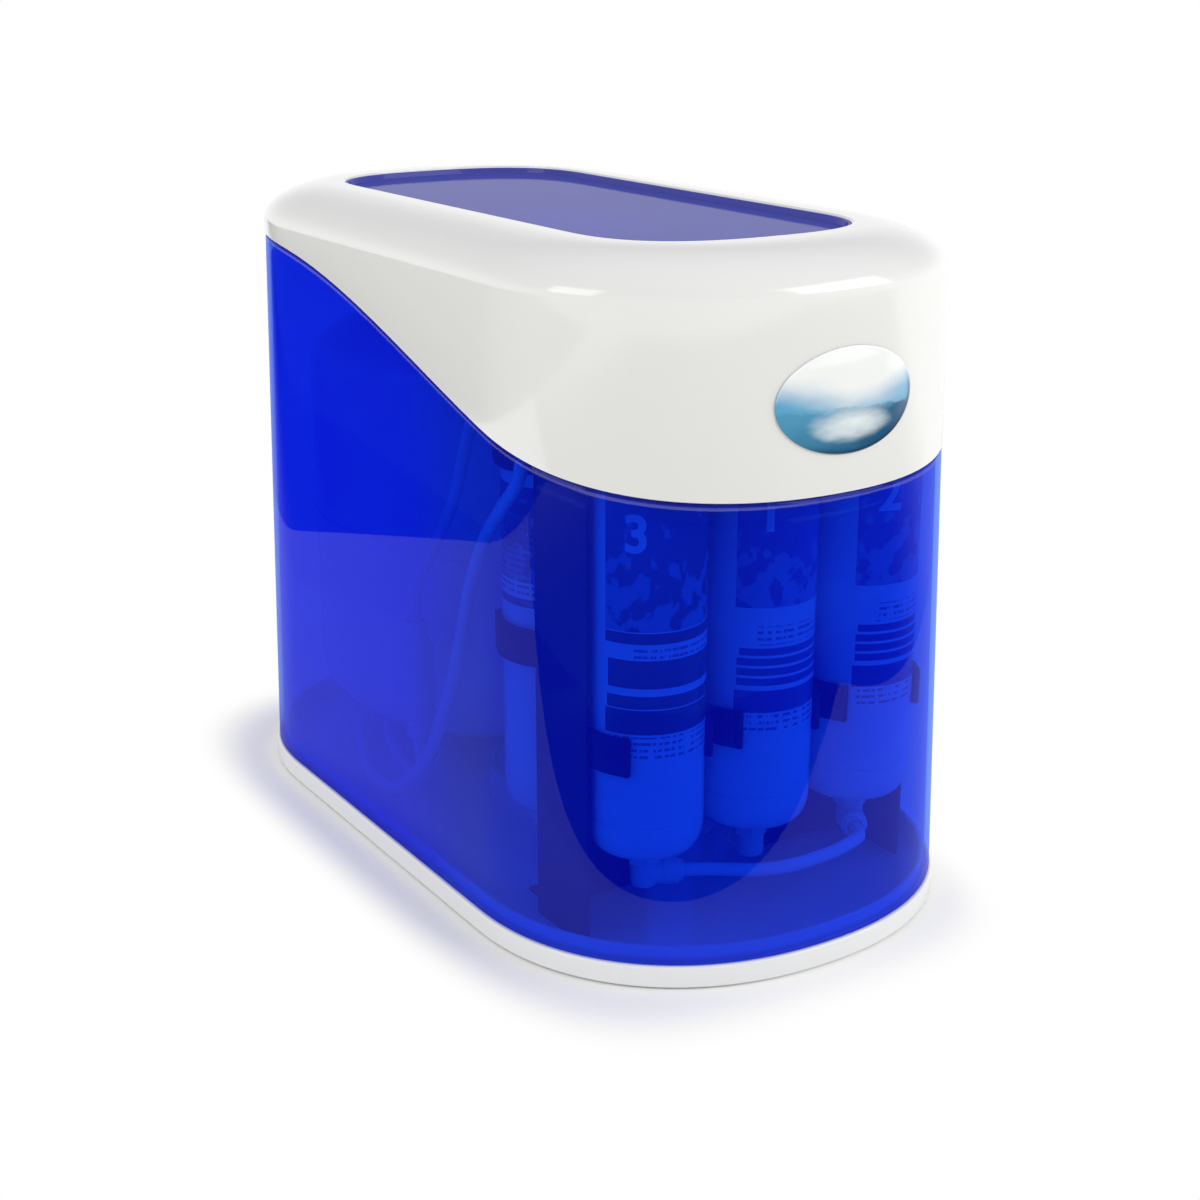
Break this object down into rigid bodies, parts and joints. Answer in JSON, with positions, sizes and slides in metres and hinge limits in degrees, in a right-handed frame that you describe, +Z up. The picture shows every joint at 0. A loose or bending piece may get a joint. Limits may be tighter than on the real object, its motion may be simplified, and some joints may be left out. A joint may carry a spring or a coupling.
{
  "type": "water purifier",
  "caption": "Under-sink reverse osmosis water purifier: see-through blue housing with a white cap over a tray of inline filters, a membrane and a storage tank.",
  "frame": {"origin": "middle of the footprint, on the floor under the rubber feet", "axes": "+Z up, front with the badge faces -Y, ports at the back face +Y"},
  "size_m": [0.2424, 0.435, 0.3256],
  "materials": {
    "blue_clear": "see-through tinted plastic, polished",
    "white_gloss": "polished white plastic",
    "badge_resin": "domed clear resin over a blue print",
    "foot_rubber": "matte rubber",
    "dark_sheet": "dark powder coat",
    "screw_steel": "plain steel",
    "dark_plastic": "moulded dark plastic",
    "filter_white": "moulded white plastic",
    "fitting_white": "moulded white plastic",
    "tank_enamel": "white enamel on steel",
    "lever_blue": "moulded blue plastic",
    "tube_white": "smooth white tube"
  },
  "bodies": {
    "root": {"base_tray": "white_gloss", "foot_1": "foot_rubber", "foot_2": "foot_rubber", "foot_3": "foot_rubber", "foot_4": "foot_rubber", "bracket": "dark_sheet", "bracket_screw_left": "screw_steel", "bracket_screw_right": "screw_steel", "clip_rail_low": "dark_plastic", "clip_rail_high": "dark_plastic", "post_clip_low": "dark_plastic", "post_clip_high": "dark_plastic", "membrane_clip_low": "dark_plastic", "membrane_clip_high": "dark_plastic", "cartridge_1": "filter_white", "cartridge_2": "filter_white", "cartridge_3": "filter_white", "post_filter": "filter_white", "membrane_housing": "filter_white", "membrane_cap": "filter_white", "membrane_element": "filter_white", "elbow_1_top": "fitting_white", "elbow_1_bottom": "fitting_white", "elbow_2_top": "fitting_white", "elbow_2_bottom": "fitting_white", "elbow_3_top": "fitting_white", "elbow_3_bottom": "fitting_white", "post_elbow": "fitting_white", "post_tee": "fitting_white", "membrane_feed_elbow": "fitting_white", "check_valve_elbow": "fitting_white", "drain_elbow": "fitting_white", "storage_tank": "tank_enamel", "tank_valve": "fitting_white", "auto_shutoff_valve": "fitting_white", "flow_restrictor": "dark_plastic", "feed_port": "fitting_white", "drain_port": "fitting_white", "product_port": "fitting_white", "feed_tube": "tube_white", "stage_1_to_2_tube": "tube_white", "stage_2_to_3_tube": "tube_white", "stage_3_to_valve_tube": "tube_white", "valve_to_membrane_tube": "tube_white", "permeate_tube": "tube_white", "valve_to_tee_tube": "tube_white", "tank_tube": "tube_white", "product_tube": "tube_white", "membrane_to_restrictor_tube": "tube_white", "drain_tube": "tube_white"},
    "housing": {"shell": "blue_clear", "cap": "white_gloss", "window_panel": "blue_clear", "badge": "badge_resin"},
    "valve_lever": {"tank_valve_lever": "lever_blue"},
    "feed_release": {"feed_collet": "lever_blue"},
    "drain_release": {"drain_collet": "lever_blue"},
    "product_release": {"product_collet": "lever_blue"}
  },
  "joints": [
    {"name": "housing_lift", "type": "slide", "parent": "root", "child": "housing", "axis": [0, 0, 1], "range_m": [0, 0.3]},
    {"name": "tank_valve_turn", "type": "hinge", "parent": "root", "child": "valve_lever", "pos_m": [0, 0.092, 0.3086], "axis": [0, 0, 1], "range_deg": [0, 90]},
    {"name": "feed_collet_push", "type": "slide", "parent": "root", "child": "feed_release", "axis": [0, -1, 0], "range_m": [0, 0.0015]},
    {"name": "drain_collet_push", "type": "slide", "parent": "root", "child": "drain_release", "axis": [0, -1, 0], "range_m": [0, 0.0015]},
    {"name": "product_collet_push", "type": "slide", "parent": "root", "child": "product_release", "axis": [0, -1, 0], "range_m": [0, 0.0015]}
  ]
}
